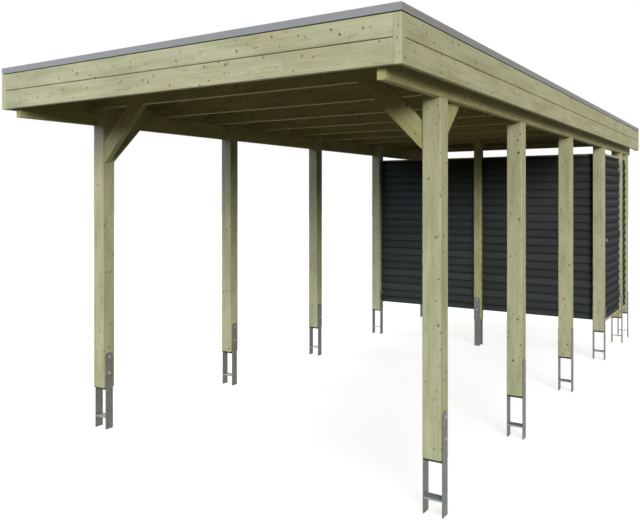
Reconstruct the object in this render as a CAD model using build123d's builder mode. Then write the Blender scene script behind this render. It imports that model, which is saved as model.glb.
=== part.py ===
from build123d import *
import os

os.makedirs("parts", exist_ok=True)

# A flat-roofed timber carport whose last bay is walled off as a storage room with a door.
# Millimetres, +X to the right seen from the front, +Y from front to back, +Z up.
# The origin lies under the middle of the roof, level with the lower ends of the post anchors.

# Plan
roof_width = 3140
roof_length = 7060
front_overhang = 770
rear_overhang = 174
side_overhang = 108
bay_count = 4
open_bay_count = 3

# Posts
post_width = 112
room_post_width = 90
post_edge_chamfer = 4
post_foot_chamfer = 6
post_under_purlin = 2059

# Steel H anchors
anchor_below_foot = 319
anchor_above_foot = 278
anchor_plate_width = 70
anchor_plate_thickness = 6
anchor_corner_chamfer = 16
anchor_seat_thickness = 10
anchor_bar_height = 88
anchor_bar_thickness = 10

# Purlins, rafters and knee braces
purlin_height = 134
purlin_thickness = 45
purlin_front_setback = 43
purlin_rear_setback = 5
rafter_height = 145
rafter_thickness = 45
rafter_count = 11
timber_edge_chamfer = 3
brace_depth = 115
brace_thickness = 45
brace_reach = 430
brace_inset = 10

# Roof skin
deck_thickness = 19
deck_board_count = 26
deck_board_gap = 1.5
deck_board_chamfer = 3
membrane_thickness = 3
roof_upstand = 10

# Fascia and aluminium edge trim
fascia_thickness = 28
upper_board_height = 122
lower_board_height = 129
fascia_groove = 4
fascia_edge_chamfer = 3
fascia_joint_from_front = 548
fascia_joint_gap = 1.5
shadow_groove_height = 6
shadow_groove_depth = 10
corner_block_width = 45
trim_height = 40
trim_width = 55
trim_sheet_thickness = 2

# Walls of the storage room
wall_clearance = 118
wall_gap_under_purlin = 62
top_rail_show_height = 18
side_rail_show_height = 27
siding_pitch = 93.3
siding_overlap = 19
siding_butt_thickness = 27
siding_top_thickness = 10
siding_nose_height = 12
siding_nose_depth = 9
cross_wall_setback = 47
side_wall_setback = 12
wall_frame_depth = 36
wall_batten_width = 45
wide_wall_field_count = 2
narrow_wall_field_count = 1
plate_clearance = 1

# Door, hinges and knobs
door_opening = 988
door_hinge_gap = 10
door_latch_gap = 10
door_member_width = 100
door_mid_rail_share = 0.52
hinge_count = 3
hinge_end_distance = 170
hinge_height = 100
hinge_leaf_length = 50
hinge_leaf_thickness = 2
hinge_axis_stand_off = 3
hinge_barrel_radius = 4.5
hinge_barrel_clearance = 0.5
hinge_pin_radius = 2.2
hinge_pin_clearance = 0.25
hinge_knuckle_gap = 0.5
knob_height = 1016
knob_backset = 66
knob_boss_radius = 18
knob_boss_show = 4
knob_boss_clearance = 0.5
knob_neck_radius = 7
knob_neck_length = 7
knob_radius = 15
knob_thickness = 10
knob_bevel = 3

# Levels and lines that follow from the sizes above
foot_z = anchor_below_foot
anchor_top_z = foot_z + anchor_above_foot
purlin_z = foot_z + post_under_purlin
rafter_z = purlin_z + purlin_height
deck_z = rafter_z + rafter_height
membrane_z = deck_z + deck_thickness
roof_skin_z = membrane_z + membrane_thickness
trim_z = roof_skin_z + roof_upstand
groove_z = trim_z - upper_board_height
fascia_z = groove_z - lower_board_height
siding_z = foot_z + wall_clearance
wall_top_z = purlin_z - wall_gap_under_purlin
siding_top_z = wall_top_z - top_rail_show_height

half_width = roof_width / 2
front_y = -roof_length / 2
rear_y = roof_length / 2
row_count = bay_count + 1
row_spacing = roof_width - 2 * side_overhang - post_width
bay_length = (roof_length - front_overhang - rear_overhang) / bay_count
row_y = [front_y + front_overhang + row * bay_length for row in range(row_count)]
outer_x = row_spacing / 2 + post_width / 2
inner_x = row_spacing / 2 - post_width / 2
room_front_y = row_y[open_bay_count]
room_rear_y = row_y[open_bay_count + 1]
door_post_front_y = room_front_y + post_width / 2 + door_opening
door_post_y = door_post_front_y + post_width / 2
brace_y = row_y[0] - post_width / 2 + brace_inset + rafter_thickness / 2
upright = (Align.CENTER, Align.CENTER, Align.MIN)


def save(piece, node):
    piece.part.label = node
    export_step(piece.part, f"parts/{node}.step")


# Posts: the outer part of each head is cut away, so the purlin lies in the notch
# and a tongue stands up behind it as high as the rafters.
def notched_post(y, sign):
    with BuildPart() as post:
        with BuildSketch(Plane.XY.offset(foot_z)):
            with Locations((sign * row_spacing / 2, y)):
                Rectangle(post_width, post_width)
        extrude(amount=rafter_z - foot_z)
        chamfer(post.edges().filter_by(Axis.Z), post_edge_chamfer)
        chamfer(post.edges().group_by(Axis.Z)[0], post_foot_chamfer)
        with BuildSketch(Plane.XY.offset(purlin_z)):
            with Locations((sign * (outer_x - purlin_thickness / 2), y)):
                Rectangle(purlin_thickness, post_width)
        extrude(amount=purlin_height, mode=Mode.SUBTRACT)
    return post


for side_name, sign in (("left", -1), ("right", 1)):
    for row in range(row_count):
        save(notched_post(row_y[row], sign), f"{side_name}_post_{row + 1}")

save(notched_post(door_post_y, 1), "door_post")


# The middle posts of the room's front and rear walls run up to the roof boards.
def middle_post(y):
    with BuildPart() as post:
        with BuildSketch(Plane.XY.offset(foot_z)):
            with Locations((0, y)):
                Rectangle(room_post_width, room_post_width)
        extrude(amount=deck_z - foot_z)
        chamfer(post.edges().filter_by(Axis.Z), post_edge_chamfer)
        chamfer(post.edges().group_by(Axis.Z)[0], post_foot_chamfer)
    return post


save(middle_post(room_front_y), "room_front_post")
save(middle_post(room_rear_y), "room_rear_post")


# H anchors: two flat plates grip a post, a seat plate carries its foot and a lower bar ties the legs.
# Each entry is the post's axis, its side and the direction from one plate to the other.
def h_anchors(places):
    with BuildPart() as anchors:
        for x, y, side, across in places:
            along = Vector(0, 0, 1).cross(across)
            plate_offset = (side + anchor_plate_thickness) / 2
            with BuildSketch(Plane((x, y, 0), x_dir=across, z_dir=-along)):
                with Locations((-plate_offset, anchor_top_z / 2), (plate_offset, anchor_top_z / 2)):
                    Rectangle(anchor_plate_thickness, anchor_top_z)
                with Locations((0, foot_z - anchor_seat_thickness / 2)):
                    Rectangle(side, anchor_seat_thickness)
                with Locations((0, anchor_bar_height + anchor_bar_thickness / 2)):
                    Rectangle(side, anchor_bar_thickness)
            extrude(amount=anchor_plate_width / 2, both=True)
            top_edges = anchors.edges(Select.LAST).group_by(Axis.Z)[-1]
            chamfer(top_edges.filter_by(Axis((0, 0, 0), across)), anchor_corner_chamfer)
    return anchors


width_way = Vector(1, 0, 0)
length_way = Vector(0, 1, 0)
left_places = [(-row_spacing / 2, y, post_width, width_way) for y in row_y]
right_places = [(row_spacing / 2, y, post_width, width_way) for y in row_y]
room_places = [(0, room_front_y, room_post_width, length_way), (0, room_rear_y, room_post_width, length_way),
               (row_spacing / 2, door_post_y, post_width, width_way)]
save(h_anchors(left_places), "left_post_anchors")
save(h_anchors(right_places), "right_post_anchors")
save(h_anchors(room_places), "room_post_anchors")

# Purlins: one plank on edge along each row, flush with the outer faces of the posts.
purlin_length = roof_length - purlin_front_setback - purlin_rear_setback
purlin_middle_y = (purlin_front_setback - purlin_rear_setback) / 2
for side_name, sign in (("left", -1), ("right", 1)):
    with BuildPart() as purlin:
        with BuildSketch(Plane.XY.offset(purlin_z)):
            with Locations((sign * (outer_x - purlin_thickness / 2), purlin_middle_y)):
                Rectangle(purlin_thickness, purlin_length)
        extrude(amount=purlin_height)
        chamfer(purlin.edges().filter_by(Axis.Y), timber_edge_chamfer)
    save(purlin, f"{side_name}_purlin")

# Rafters: the first and last stand right behind the fascia, the second over the first posts,
# and the rest are spread evenly between the second and the last.
end_rafter_y = rear_y - fascia_thickness - rafter_thickness / 2
rafter_spacing = (end_rafter_y - brace_y) / (rafter_count - 2)
inner_rafter_y = [brace_y + k * rafter_spacing for k in range(rafter_count - 2)]
with BuildPart() as rafters:
    with BuildSketch(Plane.XY.offset(rafter_z)):
        with Locations(*[(0, y) for y in inner_rafter_y]):
            Rectangle(roof_width - 2 * fascia_thickness, rafter_thickness)
        with Locations((0, -end_rafter_y), (0, end_rafter_y)):
            Rectangle(roof_width - 2 * corner_block_width, rafter_thickness)
    extrude(amount=rafter_height)
    chamfer(rafters.edges().filter_by(Axis.X).group_by(Axis.Z)[0], timber_edge_chamfer)
save(rafters, "rafters")


# Knee braces: planks at 45 degrees. One runs inward up to the second rafter and lies in its plane,
# the other runs back along the inner face of the purlin.
def brace_outline(start, direction):
    head = brace_depth * 2**0.5
    low = rafter_z - brace_reach
    return [(start, low), (start + direction * brace_reach, rafter_z),
            (start + direction * (brace_reach - head), rafter_z), (start, low + head)]


for side_name, sign in (("left", -1), ("right", 1)):
    with BuildPart() as braces:
        with BuildSketch(Plane((0, brace_y, 0), x_dir=(1, 0, 0), z_dir=(0, -1, 0))):
            with BuildLine():
                Polyline(*brace_outline(sign * inner_x, -sign), close=True)
            make_face()
        extrude(amount=brace_thickness / 2, both=True)
        brace_x = sign * (outer_x - purlin_thickness - brace_thickness / 2)
        with BuildSketch(Plane((brace_x, 0, 0), x_dir=(0, 1, 0), z_dir=(1, 0, 0))):
            with BuildLine():
                Polyline(*brace_outline(row_y[0] + post_width / 2, 1), close=True)
            make_face()
        extrude(amount=brace_thickness / 2, both=True)
    save(braces, f"{side_name}_knee_braces")

# Roof boards: laid along the roof on the rafters, with V joints underneath.
deck_width = roof_width - 2 * corner_block_width
deck_length = roof_length - 2 * corner_block_width
deck_pitch = deck_width / deck_board_count
with BuildPart() as deck:
    with BuildSketch(Plane.XY.offset(deck_z)):
        with GridLocations(deck_pitch, 0, deck_board_count, 1):
            Rectangle(deck_pitch - deck_board_gap, deck_length)
    extrude(amount=deck_thickness)
    chamfer(deck.edges().filter_by(Axis.Y).group_by(Axis.Z)[0], deck_board_chamfer)
save(deck, "roof_boards")

# Roofing membrane: one flat sheet on the boards, held down at its edges by the trim.
with BuildPart() as membrane:
    with BuildSketch(Plane.XY.offset(membrane_z)):
        Rectangle(deck_width, deck_length)
    extrude(amount=membrane_thickness)
save(membrane, "roof_membrane")

# A shadow groove runs round the roof at the top of the fascia, right under the trim.
with BuildSketch(Plane.XY.offset(trim_z - shadow_groove_height)) as shadow_groove:
    Rectangle(roof_width, roof_length)
    Rectangle(roof_width - 2 * shadow_groove_depth, roof_length - 2 * shadow_groove_depth,
              mode=Mode.SUBTRACT)

# Corner blocks: square uprights that take the ends of the fascia boards.
with BuildPart() as blocks:
    with BuildSketch(Plane.XY.offset(fascia_z)):
        with GridLocations(roof_width - corner_block_width, roof_length - corner_block_width, 2, 2):
            Rectangle(corner_block_width, corner_block_width)
    extrude(amount=trim_z - fascia_z)
    chamfer(blocks.edges().filter_by(Axis.Z), timber_edge_chamfer)
    extrude(shadow_groove.sketch, amount=shadow_groove_height, mode=Mode.SUBTRACT)
save(blocks, "corner_blocks")

# Fascia: two boards on edge, one above the other, with an open groove between them.
# The back has the upper board only. A board is set by its middle, its length and its two levels.
upper_levels = (groove_z + fascia_groove / 2, trim_z)
lower_levels = (fascia_z, groove_z - fascia_groove / 2)


def fascia_boards(boards, outward, run):
    with BuildPart() as fascia:
        for middle, size, levels in boards:
            with BuildSketch(Plane.XY.offset(levels[0])):
                with Locations(middle):
                    Rectangle(*size)
            extrude(amount=levels[1] - levels[0])
            outer_face = fascia.faces(Select.LAST).sort_by(Axis((0, 0, 0), outward))[-1]
            chamfer(outer_face.edges().filter_by(run), fascia_edge_chamfer)
        extrude(shadow_groove.sketch, amount=shadow_groove_height, mode=Mode.SUBTRACT)
    return fascia


cross_size = (roof_width - 2 * corner_block_width, fascia_thickness)
front_middle = (0, front_y + fascia_thickness / 2)
rear_middle = (0, rear_y - fascia_thickness / 2)
front_boards = [(front_middle, cross_size, upper_levels), (front_middle, cross_size, lower_levels)]
save(fascia_boards(front_boards, (0, -1, 0), Axis.X), "front_fascia")
save(fascia_boards([(rear_middle, cross_size, upper_levels)], (0, 1, 0), Axis.X), "rear_fascia")

# On each side the lower board is made of two lengths, butted near the front.
board_front_y = front_y + corner_block_width
board_rear_y = rear_y - corner_block_width
joint_y = front_y + fascia_joint_from_front
side_runs = [(board_front_y, board_rear_y, upper_levels),
             (board_front_y, joint_y - fascia_joint_gap / 2, lower_levels),
             (joint_y + fascia_joint_gap / 2, board_rear_y, lower_levels)]
for side_name, sign in (("left", -1), ("right", 1)):
    board_x = sign * (half_width - fascia_thickness / 2)
    side_boards = [((board_x, (start + end) / 2), (fascia_thickness, end - start), levels)
                   for start, end, levels in side_runs]
    save(fascia_boards(side_boards, (sign, 0, 0), Axis.Y), f"{side_name}_fascia")


# Edge trim: folded sheet that stands on the fascia, turns over the edge and comes down on the membrane.
# Each length starts at a roof corner, runs along one side and is mitred at both ends.
def edge_trim(corner, run, length):
    inward = Vector(0, 0, 1).cross(run)
    sheet = trim_sheet_thickness
    inner_z = roof_skin_z - trim_z
    with BuildPart() as trim:
        with BuildSketch(Plane((*corner, trim_z), x_dir=inward, z_dir=run)):
            with BuildLine():
                Polyline((0, 0), (fascia_thickness, 0), (fascia_thickness, sheet), (sheet, sheet),
                         (sheet, trim_height - sheet), (trim_width - sheet, trim_height - sheet),
                         (trim_width - sheet, inner_z), (trim_width, inner_z),
                         (trim_width, trim_height), (0, trim_height), close=True)
            make_face()
        extrude(amount=length)
        with BuildSketch(Plane((*corner, membrane_z), x_dir=run, z_dir=(0, 0, 1))):
            with BuildLine():
                Polyline((0, 0), (length, 0), (length - trim_width, trim_width), (trim_width, trim_width),
                         close=True)
            make_face()
        extrude(amount=trim_z + trim_height - membrane_z, mode=Mode.INTERSECT)
    return trim


save(edge_trim((-half_width, front_y), Vector(1, 0, 0), roof_width), "front_trim")
save(edge_trim((half_width, front_y), Vector(0, 1, 0), roof_length), "right_trim")
save(edge_trim((half_width, rear_y), Vector(-1, 0, 0), roof_width), "rear_trim")
save(edge_trim((-half_width, rear_y), Vector(0, -1, 0), roof_length), "left_trim")


# The front and rear walls reach the inner faces of the main posts, and are cut out there
# around the anchor plates, which stand between post and wall.
def cut_plate_pockets(y):
    pocket_length = 2 * (anchor_plate_thickness + plate_clearance)
    pocket_width = anchor_plate_width + 2 * plate_clearance
    pocket_top = anchor_top_z + plate_clearance
    with Locations((-inner_x, y), (inner_x, y)):
        Box(pocket_length, pocket_width, pocket_top, align=upright, mode=Mode.SUBTRACT)


# Lap siding: boards that overlap like weatherboards, with bevelled lower edges. The top board shows
# its whole width, the next ones lie under it, and the lowest is cut to fit.
# start is the panel's end on the plane behind the siding, and the panel runs from there to the right
# for someone who looks at its outer face. row_line is the post row that a front or rear wall stands in.
def siding_panel(start, outward, length, row_line=None):
    along = Vector(0, 0, 1).cross(outward)
    end = Vector(*start, 0) + along * length
    first_lap_z = siding_top_z - siding_overlap
    whole_boards = int((first_lap_z - siding_z) // siding_pitch)
    cut_board = first_lap_z - siding_z - whole_boards * siding_pitch
    lap_depth = siding_butt_thickness - siding_top_thickness
    cut_butt = siding_top_thickness + lap_depth * cut_board / siding_pitch
    nose_x = siding_butt_thickness - siding_nose_depth
    points = [(0, siding_z), (0, siding_top_z), (siding_top_thickness, siding_top_z)]
    for board in range(whole_boards):
        butt_z = first_lap_z - (board + 1) * siding_pitch
        points += [(siding_butt_thickness, butt_z + siding_nose_height), (nose_x, butt_z),
                   (siding_top_thickness, butt_z)]
    points.append((cut_butt, siding_z))
    with BuildPart() as siding:
        with BuildSketch(Plane(end, x_dir=outward, z_dir=-along)):
            with BuildLine():
                Polyline(*points, close=True)
            make_face()
        extrude(amount=length)
        if row_line is not None:
            cut_plate_pockets(row_line)
    return siding


outward_front = Vector(0, -1, 0)
outward_rear = Vector(0, 1, 0)
outward_left = Vector(-1, 0, 0)
outward_right = Vector(1, 0, 0)
cross_wall_back = post_width / 2 - cross_wall_setback - siding_butt_thickness
front_back_y = room_front_y - cross_wall_back
rear_back_y = room_rear_y + cross_wall_back
side_back_x = outer_x - side_wall_setback - siding_butt_thickness
half_wall = inner_x - room_post_width / 2
side_wall = bay_length - post_width
fixed_wall_y = door_post_front_y + post_width
fixed_wall = room_rear_y - post_width / 2 - fixed_wall_y
side_frame_z = siding_z - side_rail_show_height
cross_walls = [("room_front_left_siding", (-inner_x, front_back_y), outward_front, room_front_y),
               ("room_front_right_siding", (room_post_width / 2, front_back_y), outward_front, room_front_y),
               ("room_rear_right_siding", (inner_x, rear_back_y), outward_rear, room_rear_y),
               ("room_rear_left_siding", (-room_post_width / 2, rear_back_y), outward_rear, room_rear_y)]
left_start = (-side_back_x, room_rear_y - post_width / 2)
right_start = (side_back_x, fixed_wall_y)
side_walls = [("room_left_siding", left_start, outward_left, side_wall, wide_wall_field_count),
              ("room_right_siding", right_start, outward_right, fixed_wall, narrow_wall_field_count)]

frame_places = []
for node, start, outward, row_line in cross_walls:
    save(siding_panel(start, outward, half_wall, row_line), node)
    frame_places.append((start, outward, half_wall, siding_z, wide_wall_field_count))
for node, start, outward, length, field_count in side_walls:
    save(siding_panel(start, outward, length), node)
    frame_places.append((start, outward, length, side_frame_z, field_count))


# The rails of the side walls and of the door come out below and above the siding as a sill and a cap.
def sill_and_cap(start, outward, length):
    along = Vector(0, 0, 1).cross(outward)
    middle = Vector(*start, 0) + along * length / 2
    for z, height in ((side_frame_z, side_rail_show_height), (siding_top_z, top_rail_show_height)):
        with Locations(Plane(middle + Vector(0, 0, z), x_dir=along, z_dir=outward)):
            Box(length, height, siding_butt_thickness, align=(Align.CENTER, Align.MIN, Align.MIN))


# Frames behind the siding: rails and end battens with studs between them, one frame to a panel.
with BuildPart() as wall_frames:
    for start, outward, length, bottom_z, field_count in frame_places:
        height = wall_top_z - bottom_z
        field_pitch = (length - wall_batten_width) / field_count
        along = Vector(0, 0, 1).cross(outward)
        with BuildSketch(Plane((*start, bottom_z), x_dir=along, z_dir=outward)):
            with Locations((length / 2, height / 2)):
                Rectangle(length, height)
                with GridLocations(field_pitch, 0, field_count, 1):
                    Rectangle(field_pitch - wall_batten_width, height - 2 * wall_batten_width,
                              mode=Mode.SUBTRACT)
        extrude(amount=-wall_frame_depth)
        if bottom_z < siding_z:
            sill_and_cap(start, outward, length)
    cut_plate_pockets(room_front_y)
    cut_plate_pockets(room_rear_y)
save(wall_frames, "wall_frames")

# Door: a framed leaf with the same siding, hung on the door post and opening outward.
door_start = (side_back_x, room_front_y + post_width / 2 + door_latch_gap)
door_width = door_opening - door_hinge_gap - door_latch_gap
door_end_y = door_start[1] + door_width
door_height = wall_top_z - side_frame_z

knob_y = door_start[1] + knob_backset
knob_z = foot_z + knob_height
outer_boss = siding_butt_thickness + knob_boss_show
with BuildPart() as door_siding:
    add(siding_panel(door_start, outward_right, door_width).part)
    with Locations(Plane((side_back_x, knob_y, knob_z), z_dir=outward_right)):
        Cylinder(knob_boss_radius + knob_boss_clearance, outer_boss, align=upright, mode=Mode.SUBTRACT)
save(door_siding, "door_siding")

mid_rail_y = door_height * door_mid_rail_share
lower_field = mid_rail_y - 1.5 * door_member_width
upper_field = door_height - mid_rail_y - 1.5 * door_member_width
with BuildPart() as door_frame:
    with BuildSketch(Plane((*door_start, side_frame_z), x_dir=(0, 1, 0), z_dir=outward_right)):
        with Locations((door_width / 2, door_height / 2)):
            Rectangle(door_width, door_height)
        with Locations((door_width / 2, door_member_width + lower_field / 2)):
            Rectangle(door_width - 2 * door_member_width, lower_field, mode=Mode.SUBTRACT)
        with Locations((door_width / 2, door_height - door_member_width - upper_field / 2)):
            Rectangle(door_width - 2 * door_member_width, upper_field, mode=Mode.SUBTRACT)
    extrude(amount=-wall_frame_depth)
    sill_and_cap(door_start, outward_right, door_width)
save(door_frame, "door_frame")

# Hinges: slim butt hinges in the gap beside the door post, with their axis just outside the siding.
# The post's leaf carries the upper and lower knuckles and the pin, the door's leaf the middle knuckle.
hinge_x = side_back_x + siding_butt_thickness + hinge_axis_stand_off
hinge_y = door_post_front_y - door_hinge_gap / 2
hinge_span = door_height - 2 * hinge_end_distance - hinge_height
hinge_step = hinge_span / (hinge_count - 1)
hinge_z = [side_frame_z + hinge_end_distance + k * hinge_step for k in range(hinge_count)]
knuckle_height = (hinge_height - 2 * hinge_knuckle_gap) / 3
knuckle_relief = hinge_barrel_radius + hinge_barrel_clearance
leaf_middle_x = hinge_x - hinge_leaf_length / 2
leaf_offset = (door_hinge_gap - hinge_leaf_thickness) / 2


def hinge_leaf(z, leaf_y):
    with Locations((leaf_middle_x, leaf_y, z)):
        Box(hinge_leaf_length, hinge_leaf_thickness, hinge_height, align=upright)


def barrel(z, height, radius, mode=Mode.ADD):
    with Locations((hinge_x, hinge_y, z)):
        Cylinder(radius, height, align=upright, mode=mode)


with BuildPart() as post_hinges:
    for z in hinge_z:
        middle_z = z + knuckle_height
        hinge_leaf(z, hinge_y + leaf_offset)
        barrel(middle_z, knuckle_height + 2 * hinge_knuckle_gap, knuckle_relief, Mode.SUBTRACT)
        barrel(z, knuckle_height, hinge_barrel_radius)
        barrel(z + hinge_height - knuckle_height, knuckle_height, hinge_barrel_radius)
        barrel(z, hinge_height, hinge_pin_radius)
save(post_hinges, "post_hinge_leaves")

with BuildPart() as door_hinges:
    for z in hinge_z:
        middle_z = z + knuckle_height + hinge_knuckle_gap
        hinge_leaf(z, hinge_y - leaf_offset)
        barrel(z, middle_z - z, knuckle_relief, Mode.SUBTRACT)
        barrel(middle_z + knuckle_height, middle_z - z, knuckle_relief, Mode.SUBTRACT)
        barrel(middle_z, knuckle_height, hinge_barrel_radius)
        barrel(middle_z, knuckle_height, hinge_pin_radius + hinge_pin_clearance, Mode.SUBTRACT)
save(door_hinges, "door_hinge_leaves")

# Door knobs: turned knobs on round bosses. The outer boss goes through a hole in the siding to the frame
# of the leaf, the inner one lies on the back of the frame.
inner_face_x = side_back_x - wall_frame_depth
with BuildPart() as knobs:
    for face_x, sign, boss in ((side_back_x, 1, outer_boss), (inner_face_x, -1, knob_boss_show)):
        knob_start = boss + knob_neck_length
        knob_end = knob_start + knob_thickness
        rim = knob_radius - knob_bevel
        with BuildSketch(Plane((face_x, knob_y, knob_z), x_dir=(sign, 0, 0), z_dir=(0, 0, sign))):
            with BuildLine():
                Polyline((0, 0), (0, knob_boss_radius), (boss, knob_boss_radius), (boss, knob_neck_radius),
                         (knob_start, knob_neck_radius), (knob_start, rim),
                         (knob_start + knob_bevel, knob_radius), (knob_end - knob_bevel, knob_radius),
                         (knob_end, rim), (knob_end, 0), close=True)
            make_face()
        revolve(axis=Axis((face_x, knob_y, knob_z), (1, 0, 0)))
save(knobs, "door_handle")
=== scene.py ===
from math import pi, radians

import bpy
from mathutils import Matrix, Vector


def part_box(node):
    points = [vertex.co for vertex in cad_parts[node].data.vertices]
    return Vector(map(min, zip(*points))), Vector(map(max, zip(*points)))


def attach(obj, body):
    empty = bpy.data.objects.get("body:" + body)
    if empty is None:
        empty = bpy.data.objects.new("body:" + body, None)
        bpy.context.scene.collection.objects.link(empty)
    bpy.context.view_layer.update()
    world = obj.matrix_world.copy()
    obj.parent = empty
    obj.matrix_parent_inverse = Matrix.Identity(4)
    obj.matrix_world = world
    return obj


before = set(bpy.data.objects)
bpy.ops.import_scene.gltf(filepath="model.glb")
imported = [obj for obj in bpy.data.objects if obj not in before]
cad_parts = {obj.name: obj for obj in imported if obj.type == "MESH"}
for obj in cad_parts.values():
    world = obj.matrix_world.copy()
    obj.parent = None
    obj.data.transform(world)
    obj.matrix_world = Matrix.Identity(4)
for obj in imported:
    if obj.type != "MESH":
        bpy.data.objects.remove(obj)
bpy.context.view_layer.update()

# Post anchors: H-shaped feet of flat steel bar, cut, welded and hot-dip galvanised.
# Two plates grip each post from the sides, a seat between them carries its foot,
# and a crossbar holds them apart near the ground.
MM = 0.001
FACTOR = 0
COLOUR_A = 6
COLOUR_B = 7
COLOUR_OUT = 2


def linear(hex_colour):
    parts = [int(hex_colour[k:k + 2], 16) / 255 for k in (1, 3, 5)]
    return [p / 12.92 if p <= 0.04045 else ((p + 0.055) / 1.055) ** 2.4 for p in parts] + [1.0]


def add_node(owner, kind, inputs=(), **settings):
    # The owner is a material or the world. A Mix node's sockets share their names, so they go by number.
    tree = owner.node_tree
    made = tree.nodes.new("ShaderNode" + kind)
    for key, value in settings.items():
        setattr(made, key, value)
    for socket, value in dict(inputs).items():
        if isinstance(value, bpy.types.NodeSocket):
            tree.links.new(value, made.inputs[socket])
        else:
            made.inputs[socket].default_value = value
    return made


def new_material(name):
    material = bpy.data.materials.new(name)
    material.use_nodes = True
    return material, material.node_tree.nodes["Principled BSDF"]


def link(material, source, shader, socket):
    material.node_tree.links.new(source, shader.inputs[socket])


def finish_nodes(material, *names):
    for name in names:
        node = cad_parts[name]
        node.data.materials.clear()
        node.data.materials.append(material)


# Hot-dip galvanised steel: dull grey zinc that freezes in crystals, so flat faces show faint patches
# that differ a little in tone and gloss. The seats under the posts are painted almost black as shade,
# and the crossbars between the plates are painted bluer and paler as light falling from above.
spangle_size = 12 * MM
zinc_cloud_size = 60 * MM
seat_thickness = 10 * MM
seat_margin = 0.5 * MM
plate_margin = 0.3 * MM
bar_level = 93 * MM
bar_reach = 10 * MM
zinc_dark = linear("#6c6d68")
zinc_pale = linear("#959692")
seat_shade_zinc = linear("#23221d")
bar_highlight_zinc = linear("#9ea1a6")
post_low, post_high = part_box("right_post_1")
post_half = (post_high[0] - post_low[0]) / 2
post_row = (post_low[0] + post_high[0]) / 2

galvanised_steel, shader = new_material("hot_dip_galvanised_steel")
place = add_node(galvanised_steel, "TexCoord").outputs["Object"]
spangle = add_node(galvanised_steel, "TexVoronoi", {"Vector": place, "Scale": 1 / spangle_size})
patch = add_node(galvanised_steel, "SeparateColor", {"Color": spangle.outputs["Color"]})
cloud = add_node(galvanised_steel, "TexNoise", {
    "Vector": place, "Scale": 1 / zinc_cloud_size, "Detail": 4.0})
tone = add_node(galvanised_steel, "Math", {0: patch.outputs[0], 1: cloud.outputs[0]}, operation="MULTIPLY")
zinc = add_node(galvanised_steel, "Mix", {
    FACTOR: tone.outputs[0], COLOUR_A: zinc_dark, COLOUR_B: zinc_pale}, data_type="RGBA")
spot = add_node(galvanised_steel, "SeparateXYZ", {"Vector": place})
aside = add_node(galvanised_steel, "Math", {0: spot.outputs[0]}, operation="ABSOLUTE")
between_plates = add_node(galvanised_steel, "Math", {
    0: aside.outputs[0], 1: post_row, 2: post_half - plate_margin}, operation="COMPARE")
under_post = add_node(galvanised_steel, "Math", {
    0: spot.outputs[2], 1: post_low[2] - seat_thickness / 2, 2: seat_thickness / 2 + seat_margin},
    operation="COMPARE")
# Painted shade: the seat between the plates, right under the post's foot, is nearly black.
seat = add_node(galvanised_steel, "Math", {
    0: between_plates.outputs[0], 1: under_post.outputs[0]}, operation="MULTIPLY")
seat_shaded_steel = add_node(galvanised_steel, "Mix", {
    FACTOR: seat.outputs[0], COLOUR_A: zinc.outputs[COLOUR_OUT], COLOUR_B: seat_shade_zinc}, data_type="RGBA")
# Painted light: the crossbar between the plates is paler and bluer, as if lit from above.
at_bar = add_node(galvanised_steel, "Math", {
    0: spot.outputs[2], 1: bar_level, 2: bar_reach}, operation="COMPARE")
bar = add_node(galvanised_steel, "Math", {
    0: between_plates.outputs[0], 1: at_bar.outputs[0]}, operation="MULTIPLY")
metal = add_node(galvanised_steel, "Mix", {
    FACTOR: bar.outputs[0], COLOUR_A: seat_shaded_steel.outputs[COLOUR_OUT], COLOUR_B: bar_highlight_zinc}, data_type="RGBA")
gloss = add_node(galvanised_steel, "MapRange", {"Value": patch.outputs[1], "To Min": 0.42, "To Max": 0.6})
link(galvanised_steel, metal.outputs[COLOUR_OUT], shader, "Base Color")
link(galvanised_steel, gloss.outputs[0], shader, "Roughness")
shader.inputs["Metallic"].default_value = 0.35
finish_nodes(galvanised_steel, "left_post_anchors", "right_post_anchors", "room_post_anchors")

# Anchor bolts: each plate pair is drawn together by two zinc-plated M10 through bolts,
# with a hexagon head and washer on one plate and a nut with the thread's end on the other.
cross_posts = [f"{side}_post_{row}" for side in ("left", "right") for row in range(1, 6)] + ["door_post"]
middle_posts = ["room_front_post", "room_rear_post"]
bolt_levels = (440 * MM, 566 * MM)
plate_thickness = 6 * MM
hexagon_radius = 9.5 * MM
head_height = 6.5 * MM
washer_radius = 12.5 * MM
washer_height = 2 * MM
thread_radius = 5 * MM
thread_end = 13 * MM
crown_inset = 1.4 * MM
crown_rise = 0.8 * MM
edge_break = 0.3 * MM
smooth_below = radians(40)
washer_corners = 20
hexagon_corners = 6
thread_corners = 12


def deselect():
    bpy.ops.object.select_all(action="DESELECT")


def pick(piece):
    deselect()
    piece.select_set(True)
    bpy.context.view_layer.objects.active = piece


def apply_place(piece):
    pick(piece)
    bpy.ops.object.transform_apply(location=True, rotation=True, scale=True)


def crown_top(piece):
    # The top face is drawn in and raised, as a turned chamfer is.
    facing_up = 0.9
    pick(piece)
    bpy.context.tool_settings.mesh_select_mode = (False, False, True)
    bpy.ops.object.mode_set(mode="EDIT")
    bpy.ops.mesh.select_all(action="DESELECT")
    bpy.ops.object.mode_set(mode="OBJECT")
    for face in piece.data.polygons:
        face.select = face.normal.z > facing_up
    bpy.ops.object.mode_set(mode="EDIT")
    bpy.ops.mesh.inset(thickness=crown_inset, depth=crown_rise)
    bpy.ops.object.mode_set(mode="OBJECT")


def break_edges(piece):
    pick(piece)
    bevel = piece.modifiers.new("edge", "BEVEL")
    bevel.width = edge_break
    bevel.segments = 1
    bevel.limit_method = "ANGLE"
    bpy.ops.object.modifier_apply(modifier=bevel.name)
    bpy.ops.object.shade_smooth_by_angle(angle=smooth_below)


def join(pieces, name):
    deselect()
    for piece in pieces:
        piece.select_set(True)
    bpy.context.view_layer.objects.active = pieces[0]
    bpy.ops.object.join()
    joined = bpy.context.view_layer.objects.active
    joined.name = name
    return joined


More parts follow.
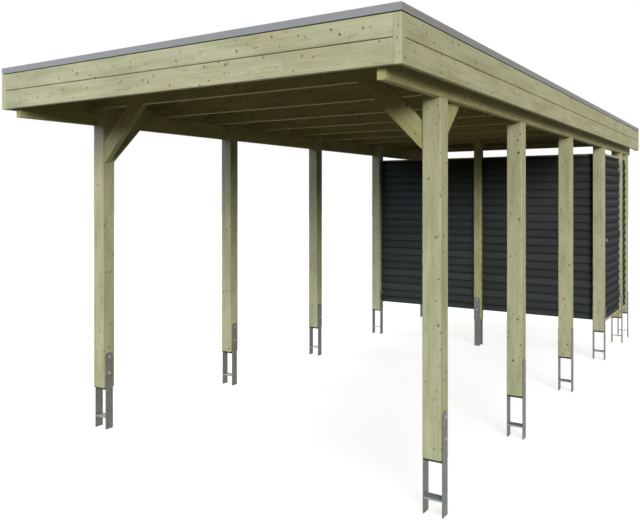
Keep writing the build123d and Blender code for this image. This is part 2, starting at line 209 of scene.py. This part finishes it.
def round_stack(rings):
    # Discs or prisms of a radius, a height and a number of corners, one on another along Z.
    made = []
    level = 0
    for radius, height, corners in rings:
        deselect()
        body = height - crown_rise
        bpy.ops.mesh.primitive_cylinder_add(
            vertices=corners, radius=radius, depth=body, location=(0, 0, level + body / 2))
        piece = bpy.context.active_object
        apply_place(piece)
        crown_top(piece)
        break_edges(piece)
        made.append(piece)
        level += height
    return join(made, "fixing")


def copy_to(model, places, name):
    copies = []
    for point, turn in places:
        copy = model.copy()
        copy.data = model.data.copy()
        bpy.context.collection.objects.link(copy)
        copy.location = point
        copy.rotation_euler = turn
        apply_place(copy)
        copies.append(copy)
    return join(copies, name)


washer = (washer_radius, washer_height, washer_corners)
hexagon = (hexagon_radius, head_height, hexagon_corners)
thread = (thread_radius, thread_end - head_height - washer_height, thread_corners)
bolt_head = round_stack([washer, hexagon])
bolt_nut = round_stack([washer, hexagon, thread])
head_places = []
nut_places = []
for name in cross_posts:
    low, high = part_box(name)
    middle = (low[1] + high[1]) / 2
    right_face = high[0] + plate_thickness
    left_face = low[0] - plate_thickness
    outward = 1 if low[0] > 0 else -1
    outer_face, inner_face = (right_face, left_face) if outward > 0 else (left_face, right_face)
    for level in bolt_levels:
        head_places.append(((outer_face, middle, level), (0, outward * pi / 2, 0)))
        nut_places.append(((inner_face, middle, level), (0, -outward * pi / 2, 0)))
for name in middle_posts:
    low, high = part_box(name)
    for level in bolt_levels:
        head_places.append(((0, low[1] - plate_thickness, level), (pi / 2, 0, 0)))
        nut_places.append(((0, high[1] + plate_thickness, level), (-pi / 2, 0, 0)))
anchor_bolt_heads = copy_to(bolt_head, head_places, "anchor_bolt_heads")
anchor_bolt_nuts = copy_to(bolt_nut, nut_places, "anchor_bolt_nuts")
for model in (bolt_head, bolt_nut):
    bpy.data.objects.remove(model)

# Zinc-plated steel: a smooth bright plating, a little lighter and glossier than the anchors.
plating_cloud_size = 5 * MM
plating_dark = linear("#8b8c8a")
plating_pale = linear("#b9bab8")
zinc_plate, shader = new_material("zinc_plated_steel")
place = add_node(zinc_plate, "TexCoord").outputs["Object"]
cloud = add_node(zinc_plate, "TexNoise", {"Vector": place, "Scale": 1 / plating_cloud_size, "Detail": 3.0})
tone = add_node(zinc_plate, "Mix", {
    FACTOR: cloud.outputs[0], COLOUR_A: plating_dark, COLOUR_B: plating_pale}, data_type="RGBA")
link(zinc_plate, tone.outputs[COLOUR_OUT], shader, "Base Color")
shader.inputs["Metallic"].default_value = 0.8
shader.inputs["Roughness"].default_value = 0.38
for piece in (anchor_bolt_heads, anchor_bolt_nuts):
    piece.data.materials.clear()
    piece.data.materials.append(zinc_plate)
    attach(piece, "frame")

# Posts: planed square timbers of pressure-treated pine, stood on end in the anchors and bolted there.
# Their heads are notched for the purlins. Growth rings are drawn at three times their real width,
# because real ones are too fine to show.
growth_ring = 9 * MM
streak_length = 700 * MM
drift_width = 70 * MM
drift_length = 380 * MM
knot_pitch = 46 * MM
knot_least_radius = 4 * MM
knot_most_radius = 13 * MM
knot_wobble = 14 * MM
knot_rim_size = 16 * MM
knot_core_share = 0.4
knot_share = 0.85
smudge_width = 40 * MM
smudge_length = 170 * MM
smudge_core = 0.06
smudge_rim = 0.28
smudge_strength = 0.2
streak_bend = 0.9
streak_bend_reach = 0.45
streak_relief = 0.6 * MM
drift_weight = 0.6
darkest_drift = 0.38
palest_drift = 0.6
sapwood_from = 0.55
sapwood_full = 0.75
sapwood_strength = 0.55
palest_knot = 0.45
# Near-black colour painted as shade at the posts' feet and in the groove under the trim.
painted_shade_wood = linear("#1d1b13")
foot_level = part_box("left_post_1")[0][2] + 9 * MM
groove_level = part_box("front_fascia")[1][2] - 6.5 * MM
upright = (0, pi / 2, 0)
planed_tones = ("#c9c9aa", "#aeaf8c", "#c8b892", "#4c4731")
# A darker, yellower copy of the planed tones: painted shade for the pieces under the roof.
shade_tinted_tones = ("#c3c190", "#a7a472", "#bfaf7f", "#4a4528")
NUMBER_A = 2
NUMBER_B = 3
VECTOR_A = 4
VECTOR_B = 5
VECTOR_OUT = 1


def treated_pine(name, turn, tones, far_turn=None, far_from=0):
    # Pressure-treated pine: pale sage green from the copper salts over yellow wood, planed, with long
    # streaks of late wood, drifts where the sapwood took less salt and stays beige, and small knots.
    # The grain runs along X after the turn, and beyond the line Y = far_from after the other turn.
    pale, deep, beige, knot = (linear(tone) for tone in tones)
    material, shader = new_material(name)
    place = add_node(material, "TexCoord").outputs["Object"]
    spot = add_node(material, "SeparateXYZ", {"Vector": place})
    grain = add_node(material, "Mapping", {"Vector": place, "Rotation": turn}).outputs[0]
    if far_turn:
        other = add_node(material, "Mapping", {"Vector": place, "Rotation": far_turn})
        beyond = add_node(material, "Math", {0: spot.outputs[1], 1: far_from}, operation="GREATER_THAN")
        grain = add_node(material, "Mix", {
            FACTOR: beyond.outputs[0], VECTOR_A: grain, VECTOR_B: other.outputs[0]},
            data_type="VECTOR").outputs[VECTOR_OUT]
    # Knots: balls of dark wood cut open at the surface, so their discs differ in size, with wobbly rims.
    rim = add_node(material, "TexNoise", {"Vector": grain, "Scale": 1 / knot_rim_size, "Detail": 1.0})
    wobbly = add_node(material, "VectorMath", {
        0: rim.outputs["Color"], 1: (knot_wobble, knot_wobble, knot_wobble), 2: grain},
        operation="MULTIPLY_ADD")
    cell = add_node(material, "TexVoronoi", {"Vector": wobbly.outputs[0], "Scale": 1 / knot_pitch})
    chance = add_node(material, "SeparateColor", {"Color": cell.outputs["Color"]})
    radius = add_node(material, "MapRange", {
        "Value": chance.outputs[0],
        "To Min": knot_least_radius / knot_pitch, "To Max": knot_most_radius / knot_pitch})
    core = add_node(material, "Math", {0: radius.outputs[0], 1: knot_core_share}, operation="MULTIPLY")
    disc = add_node(material, "MapRange", {
        "Value": cell.outputs["Distance"], "From Min": core.outputs[0], "From Max": radius.outputs[0],
        "To Min": 1.0, "To Max": 0.0}, interpolation_type="SMOOTHSTEP")
    chosen = add_node(material, "Math", {0: chance.outputs[1], 1: knot_share}, operation="LESS_THAN")
    darkness = add_node(material, "MapRange", {
        "Value": chance.outputs[2], "To Min": palest_knot, "To Max": 1.0})
    present = add_node(material, "Math", {0: disc.outputs[0], 1: chosen.outputs[0]}, operation="MULTIPLY")
    knot_mask = add_node(material, "Math", {
        0: present.outputs[0], 1: darkness.outputs[0]}, operation="MULTIPLY")
    # Smudges: flat knots and resin that lie along the grain as faint dark flecks.
    smudge_space = add_node(material, "Mapping", {
        "Vector": wobbly.outputs[0], "Scale": (1 / smudge_length, 1 / smudge_width, 1 / smudge_width)})
    smudge = add_node(material, "TexVoronoi", {"Vector": smudge_space.outputs[0], "Scale": 1.0})
    smudge_mask = add_node(material, "MapRange", {
        "Value": smudge.outputs["Distance"], "From Min": smudge_core, "From Max": smudge_rim,
        "To Min": smudge_strength, "To Max": 0.0}, interpolation_type="SMOOTHSTEP")
    # Late wood: streaks that bend round each knot.
    around = add_node(material, "MapRange", {
        "Value": cell.outputs["Distance"], "From Min": 0.0, "From Max": streak_bend_reach,
        "To Min": streak_bend, "To Max": 0.0}, interpolation_type="SMOOTHSTEP")
    bent = add_node(material, "Math", {0: around.outputs[0], 1: chosen.outputs[0]}, operation="MULTIPLY")
    streak_space = add_node(material, "Mapping", {
        "Vector": grain, "Scale": (1 / streak_length, 1 / growth_ring, 1 / growth_ring)})
    flow = add_node(material, "VectorMath", {
        0: streak_space.outputs[0], 1: bent.outputs[0]}, operation="ADD")
    streak = add_node(material, "TexNoise", {
        "Vector": flow.outputs[0], "Scale": 1.0, "Detail": 5.0, "Roughness": 0.55, "Distortion": 0.3})
    # Drifts: broad changes of lightness, and beige stretches of sapwood.
    drift_space = add_node(material, "Mapping", {
        "Vector": grain, "Scale": (1 / drift_length, 1 / drift_width, 1 / drift_width)})
    drift = add_node(material, "TexNoise", {
        "Vector": drift_space.outputs[0], "Scale": 1.0, "Detail": 3.0})
    lightness = add_node(material, "Mix", {
        FACTOR: drift_weight, NUMBER_A: streak.outputs[0], NUMBER_B: drift.outputs[0]})
    spread = add_node(material, "MapRange", {
        "Value": lightness.outputs[0], "From Min": darkest_drift, "From Max": palest_drift})
    green = add_node(material, "Mix", {
        FACTOR: spread.outputs[0], COLOUR_A: deep, COLOUR_B: pale}, data_type="RGBA")
    drift_hue = add_node(material, "SeparateColor", {"Color": drift.outputs["Color"]})
    sapwood = add_node(material, "MapRange", {
        "Value": drift_hue.outputs[1], "From Min": sapwood_from, "From Max": sapwood_full,
        "To Max": sapwood_strength})
    wood = add_node(material, "Mix", {
        FACTOR: sapwood.outputs[0], COLOUR_A: green.outputs[COLOUR_OUT], COLOUR_B: beige},
        data_type="RGBA")
    smudged = add_node(material, "Mix", {
        FACTOR: smudge_mask.outputs[0], COLOUR_A: wood.outputs[COLOUR_OUT], COLOUR_B: knot},
        data_type="RGBA")
    knotted = add_node(material, "Mix", {
        FACTOR: knot_mask.outputs[0], COLOUR_A: smudged.outputs[COLOUR_OUT], COLOUR_B: knot},
        data_type="RGBA")
    # Painted shade: almost black at the posts' feet over the seats, and in the groove under the roof's edge
    # trim.
    foot = add_node(material, "Math", {0: spot.outputs[2], 1: foot_level}, operation="LESS_THAN")
    groove = add_node(material, "Math", {0: spot.outputs[2], 1: groove_level}, operation="GREATER_THAN")
    shade_mask = add_node(material, "Math", {0: foot.outputs[0], 1: groove.outputs[0]}, operation="MAXIMUM")
    surface = add_node(material, "Mix", {
        FACTOR: shade_mask.outputs[0], COLOUR_A: knotted.outputs[COLOUR_OUT], COLOUR_B: painted_shade_wood},
        data_type="RGBA")
    rough = add_node(material, "MapRange", {"Value": streak.outputs[0], "To Min": 0.65, "To Max": 0.88})
    relief = add_node(material, "Bump", {
        "Height": streak.outputs[0], "Strength": 0.25, "Distance": streak_relief})
    link(material, surface.outputs[COLOUR_OUT], shader, "Base Color")
    link(material, rough.outputs[0], shader, "Roughness")
    link(material, relief.outputs[0], shader, "Normal")
    return material


upright_pine = treated_pine("treated_pine_upright", upright, planed_tones)
finish_nodes(upright_pine, *cross_posts)
# The two middle posts of the room take a darker, yellower copy of the pine, as painted shade under the
# roof.
shade_tinted_upright_pine = treated_pine("sheltered_pine_upright", upright, shade_tinted_tones)
finish_nodes(shade_tinted_upright_pine, *middle_posts)

# Purlins: one plank on edge along each post row, let into the post heads and carrying the rafters.
# They are of the same planed pine in its darker, yellower copy, as painted shade, with the grain along the
# roof.
lengthwise = (0, 0, -pi / 2)
shade_tinted_lengthwise_pine = treated_pine("sheltered_pine_lengthwise", lengthwise, shade_tinted_tones)
finish_nodes(shade_tinted_lengthwise_pine, "left_purlin", "right_purlin")

# Rafters: planks on edge across the roof, laid on both purlins and nailed through the fascia
# at their ends. They are of the same pine in its darker, yellower copy, as painted shade, with the grain
# across the roof.
crosswise = (0, 0, 0)
shade_tinted_crosswise_pine = treated_pine("sheltered_pine_crosswise", crosswise, shade_tinted_tones)
finish_nodes(shade_tinted_crosswise_pine, "rafters")

# Knee braces: short planks of the same pine at 45 degrees that stiffen the front posts, one across and
# one along on each side. Their grain runs with their length: the cross brace lies in front of the post's
# rear face, the other behind it.
left_cross = (0, pi / 4, 0)
right_cross = (0, 3 * pi / 4, 0)
rising_lengthwise = (-pi / 4, 0, -pi / 2)
post_low, post_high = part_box("left_post_1")
brace_split = (post_low[1] + 3 * post_high[1]) / 4
# Both braces take the darker, yellower tones of the pine as painted shade under the roof.
for side, cross in (("left", left_cross), ("right", right_cross)):
    brace_pine = treated_pine(
        f"shade_tinted_pine_{side}_brace", cross, shade_tinted_tones, rising_lengthwise, brace_split)
    finish_nodes(brace_pine, f"{side}_knee_braces")

# Roof boards: tongued and grooved pine boards laid along the roof on the rafters, seen only from below.
# Their undersides are left sawn, and their darker, browner tones are partly painted shade for the dim
# underside of the roof.
sawn_shaded_tones = ("#a3955f", "#857846", "#9a8450", "#4d4224")
roof_board_pine = treated_pine("sawn_shaded_roof_board_pine", lengthwise, sawn_shaded_tones)
finish_nodes(roof_board_pine, "roof_boards")

# Roofing membrane: one sheet of black rubber rolled out over the boards and turned up under the trim.
# The rubber is matt and slightly dusty, with shallow waves where it was rolled.
wave_size = 450 * MM
wave_height = 4 * MM
dust_size = 140 * MM
clean_rubber = linear("#2b2c2e")
dusty_rubber = linear("#4a4b4c")
rubber_membrane, shader = new_material("rubber_roofing_membrane")
place = add_node(rubber_membrane, "TexCoord").outputs["Object"]
wave = add_node(rubber_membrane, "TexNoise", {"Vector": place, "Scale": 1 / wave_size, "Detail": 3.0})
dust = add_node(rubber_membrane, "TexNoise", {"Vector": place, "Scale": 1 / dust_size, "Detail": 8.0})
tone = add_node(rubber_membrane, "Mix", {
    FACTOR: dust.outputs[0], COLOUR_A: clean_rubber, COLOUR_B: dusty_rubber}, data_type="RGBA")
relief = add_node(rubber_membrane, "Bump", {
    "Height": wave.outputs[0], "Strength": 0.5, "Distance": wave_height})
link(rubber_membrane, tone.outputs[COLOUR_OUT], shader, "Base Color")
link(rubber_membrane, relief.outputs[0], shader, "Normal")
shader.inputs["Roughness"].default_value = 0.8
finish_nodes(rubber_membrane, "roof_membrane")

# Fascia: two planed pine boards on edge round the roof, one above the other with an open groove
# between, ending against square corner blocks and screwed to the rafters.
lengthwise_pine = treated_pine("treated_pine_lengthwise", lengthwise, planed_tones)
finish_nodes(lengthwise_pine, "left_fascia", "right_fascia")
crosswise_pine = treated_pine("treated_pine_crosswise", crosswise, planed_tones)
finish_nodes(crosswise_pine, "front_fascia", "rear_fascia")
finish_nodes(upright_pine, "corner_blocks")

# Edge trim: folded aluminium strip, mitred at the corners, standing on the fascia and holding the
# membrane's edge down. Its grey powder coat is dull, with a slow drift in tone and a fine speckle,
# which is drawn coarser than it is so that it shows.
speckle_size = 6 * MM
coat_drift_size = 500 * MM
coat_drift_weight = 0.5
coat_dark = linear("#97989f")
coat_pale = linear("#a9aab0")
trim_coat, shader = new_material("powder_coated_aluminium_trim")
place = add_node(trim_coat, "TexCoord").outputs["Object"]
speckle = add_node(trim_coat, "TexNoise", {"Vector": place, "Scale": 1 / speckle_size, "Detail": 2.0})
drift = add_node(trim_coat, "TexNoise", {"Vector": place, "Scale": 1 / coat_drift_size, "Detail": 2.0})
mixed = add_node(trim_coat, "Mix", {
    FACTOR: coat_drift_weight, NUMBER_A: speckle.outputs[0], NUMBER_B: drift.outputs[0]})
tone = add_node(trim_coat, "Mix", {
    FACTOR: mixed.outputs[0], COLOUR_A: coat_dark, COLOUR_B: coat_pale}, data_type="RGBA")
link(trim_coat, tone.outputs[COLOUR_OUT], shader, "Base Color")
shader.inputs["Roughness"].default_value = 0.65
shader.inputs["Specular IOR Level"].default_value = 0.25
finish_nodes(trim_coat, "front_trim", "rear_trim", "left_trim", "right_trim")

# Room walls: weatherboards of pine with an opaque anthracite stain, lapped and nailed to a frame of
# battens that fills the space between two posts. The frame is left in treated pine.
board_pitch = 93.3 * MM
board_overlap = 19 * MM
first_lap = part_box("door_siding")[1][2] - board_overlap
highlight_height = 0.55
highlight_reach = 0.3
lap_fade = 0.1
lap_strength = 0.85
board_weight = 0.4
stain_relief = 0.4 * MM
highlight_stain = linear("#60666b")
lap_shade_black = linear("#0b0c0c")


def stained_siding(name, turn, dark, pale, highlight_strength, lap_start):
    # Anthracite wood stain: dark grey and dull, thin enough that the grain stays faintly visible. Each
    # board differs a little from the next, has a painted highlight along its middle and painted shade
    # under the lap at its top. Heights on a board run from 0 at its lower edge to 1 at the next lap.
    material, shader = new_material(name)
    place = add_node(material, "TexCoord").outputs["Object"]
    spot = add_node(material, "SeparateXYZ", {"Vector": place})
    fall = add_node(material, "Math", {0: spot.outputs[2], 1: first_lap}, operation="SUBTRACT")
    course = add_node(material, "Math", {0: fall.outputs[0], 1: board_pitch}, operation="DIVIDE")
    board = add_node(material, "Math", {0: course.outputs[0]}, operation="FLOOR")
    height = add_node(material, "Math", {0: course.outputs[0]}, operation="FRACT")
    shade = add_node(material, "TexWhiteNoise", {"W": board.outputs[0]}, noise_dimensions="1D")
    grain = add_node(material, "Mapping", {"Vector": place, "Rotation": turn})
    streak_space = add_node(material, "Mapping", {
        "Vector": grain.outputs[0], "Scale": (1 / streak_length, 1 / growth_ring, 1 / growth_ring)})
    streak = add_node(material, "TexNoise", {
        "Vector": streak_space.outputs[0], "Scale": 1.0, "Detail": 5.0, "Roughness": 0.55})
    both = add_node(material, "Mix", {
        FACTOR: board_weight, NUMBER_A: streak.outputs[0], NUMBER_B: shade.outputs[0]})
    stain = add_node(material, "Mix", {
        FACTOR: both.outputs[0], COLOUR_A: linear(dark), COLOUR_B: linear(pale)}, data_type="RGBA")
    # Painted highlight: a paler band along the middle of each board.
    from_middle = add_node(material, "Math", {0: height.outputs[0], 1: highlight_height}, operation="SUBTRACT")
    off_middle = add_node(material, "Math", {0: from_middle.outputs[0]}, operation="ABSOLUTE")
    highlight_band = add_node(material, "MapRange", {
        "Value": off_middle.outputs[0], "From Min": 0.0, "From Max": highlight_reach,
        "To Min": highlight_strength, "To Max": 0.0}, interpolation_type="SMOOTHSTEP")
    highlighted = add_node(material, "Mix", {
        FACTOR: highlight_band.outputs[0], COLOUR_A: stain.outputs[COLOUR_OUT], COLOUR_B: highlight_stain},
        data_type="RGBA")
    # Painted shade: the top of each board, under the lap of the board above, turns nearly black.
    lap = add_node(material, "MapRange", {
        "Value": height.outputs[0], "From Min": lap_start, "From Max": lap_start + lap_fade,
        "To Max": lap_strength}, interpolation_type="SMOOTHSTEP")
    tone = add_node(material, "Mix", {
        FACTOR: lap.outputs[0], COLOUR_A: highlighted.outputs[COLOUR_OUT], COLOUR_B: lap_shade_black},
        data_type="RGBA")
    relief = add_node(material, "Bump", {
        "Height": streak.outputs[0], "Strength": 0.2, "Distance": stain_relief})
    link(material, tone.outputs[COLOUR_OUT], shader, "Base Color")
    link(material, relief.outputs[0], shader, "Normal")
    shader.inputs["Roughness"].default_value = 0.75
    shader.inputs["Specular IOR Level"].default_value = 0.05
    return material


cross_siding = stained_siding(
    "anthracite_stained_pine_cross", crosswise, dark="#303334", pale="#494d4e", highlight_strength=0.1, lap_start=0.92)
finish_nodes(cross_siding, "room_front_left_siding", "room_front_right_siding",
             "room_rear_left_siding", "room_rear_right_siding")
# The side walls and the door take a darker copy of the same stain as painted shade, with a stronger painted
# highlight.
shaded_side_siding = stained_siding(
    "anthracite_stained_pine_side_shaded", lengthwise, dark="#1f2225", pale="#303438", highlight_strength=0.35, lap_start=0.78)
finish_nodes(shaded_side_siding, "room_left_siding", "room_right_siding", "door_siding")
finish_nodes(upright_pine, "wall_frames", "door_frame")

# Door furniture: three narrow butt hinges of galvanised steel let into the gap at the post, and a turned
# knob on both faces. The knobs are satin anodised aluminium, with fine lines from turning and a soft gloss.
finish_nodes(galvanised_steel, "post_hinge_leaves", "door_hinge_leaves")
line_width = 0.6 * MM
line_length = 20 * MM
satin_dark = linear("#7c7e80")
satin_pale = linear("#959799")
satin_aluminium, shader = new_material("satin_anodised_aluminium")
place = add_node(satin_aluminium, "TexCoord").outputs["Object"]
brush = add_node(satin_aluminium, "Mapping", {
    "Vector": place, "Scale": (1 / line_width, 1 / line_length, 1 / line_width)})
lines = add_node(satin_aluminium, "TexNoise", {"Vector": brush.outputs[0], "Scale": 1.0, "Detail": 2.0})
tone = add_node(satin_aluminium, "Mix", {
    FACTOR: lines.outputs[0], COLOUR_A: satin_dark, COLOUR_B: satin_pale}, data_type="RGBA")
link(satin_aluminium, tone.outputs[COLOUR_OUT], shader, "Base Color")
shader.inputs["Metallic"].default_value = 0.7
shader.inputs["Roughness"].default_value = 0.35
finish_nodes(satin_aluminium, "door_handle")

# Studio: a pale floor that keeps a faint shadow, and a white surround. Both look white to the eye, in
# gloss and through glass, and give the object only a little warm light, as a shaded yard would.
# Five broad lamps stand round it like soft boxes.
floor_size = 120
floor_drop = 0.5 * MM
floor_glow = 0.78
floor_grey = (0.5, 0.5, 0.5, 1)
floor_bounce = (0.043, 0.034, 0.008, 1)
surround_light = 0.08
surround_hue = (1, 0.88, 0.2, 1)
white = (1, 1, 1, 1)


def seen_by_eye(owner):
    path = add_node(owner, "LightPath")
    direct = add_node(owner, "Math", {
        0: path.outputs["Is Camera Ray"], 1: path.outputs["Is Glossy Ray"]}, operation="MAXIMUM")
    return add_node(owner, "Math", {
        0: direct.outputs[0], 1: path.outputs["Is Transmission Ray"]}, operation="MAXIMUM").outputs[0]


def lamp(name, strength, colour, angle, elevation, azimuth):
    # Azimuth 0 shines from the front towards the back, and grows as the lamp goes round to the right.
    deselect()
    bpy.ops.object.light_add(type="SUN", rotation=(radians(90 - elevation), 0, radians(azimuth)))
    sun = bpy.context.active_object
    sun.name = name
    sun.data.energy = strength
    sun.data.color = colour
    sun.data.angle = radians(angle)


deselect()
bpy.ops.mesh.primitive_plane_add(size=floor_size, location=(0, 0, -floor_drop))
floor = bpy.context.active_object
floor.name = "studio_floor"
apply_place(floor)
floor_paint = bpy.data.materials.new("studio_floor_paint")
floor_paint.use_nodes = True
floor_paint.node_tree.nodes.clear()
glow = add_node(floor_paint, "Emission", {"Color": white, "Strength": floor_glow})
pale = add_node(floor_paint, "BsdfDiffuse", {"Color": floor_grey})
bright = add_node(floor_paint, "AddShader", {0: glow.outputs[0], 1: pale.outputs[0]})
bounce = add_node(floor_paint, "BsdfDiffuse", {"Color": floor_bounce})
surface = add_node(floor_paint, "MixShader", {
    FACTOR: seen_by_eye(floor_paint), 1: bounce.outputs[0], 2: bright.outputs[0]})
add_node(floor_paint, "OutputMaterial", {"Surface": surface.outputs[0]})
floor.data.materials.append(floor_paint)

world = bpy.data.worlds.new("studio")
bpy.context.scene.world = world
world.use_nodes = True
world.node_tree.nodes.clear()
seen = seen_by_eye(world)
level = add_node(world, "MapRange", {"Value": seen, "To Min": surround_light, "To Max": 1.0})
hue = add_node(world, "Mix", {FACTOR: seen, COLOUR_A: surround_hue, COLOUR_B: white}, data_type="RGBA")
sky = add_node(world, "Background", {"Color": hue.outputs[COLOUR_OUT], "Strength": level.outputs[0]})
add_node(world, "OutputWorld", {"Surface": sky.outputs[0]})

lamp("key_lamp", strength=2.42, colour=(1, 0.985, 0.9), angle=26, elevation=16.2, azimuth=43)
lamp("left_lamp", strength=1.28, colour=(0.62, 0.75, 1), angle=40, elevation=24, azimuth=-62)
lamp("front_lamp", strength=0.15, colour=(1, 0.92, 0.5), angle=20, elevation=20, azimuth=0)
lamp("top_lamp", strength=1.4, colour=(0.75, 0.85, 1), angle=40, elevation=80, azimuth=0)
lamp("rear_lamp", strength=1.9, colour=(1, 1, 0.95), angle=30, elevation=25, azimuth=195)

# Camera: level, at eye height in front of the right corner and turned to the left.
# Its frame is shifted down, as the photograph's is, so that the posts stay upright in the picture.
camera_data = bpy.data.cameras.new("camera")
camera = bpy.data.objects.new("camera", camera_data)
bpy.context.collection.objects.link(camera)
camera.location = (3.0152, -6.4842, 1.8043)
camera.rotation_euler = (pi / 2, 0, radians(32.726))
camera_data.sensor_fit = "HORIZONTAL"
camera_data.sensor_width = 36
camera_data.lens = 39.306
camera_data.shift_y = -0.0957
bpy.context.scene.camera = camera
bpy.context.scene.view_settings.view_transform = "Standard"
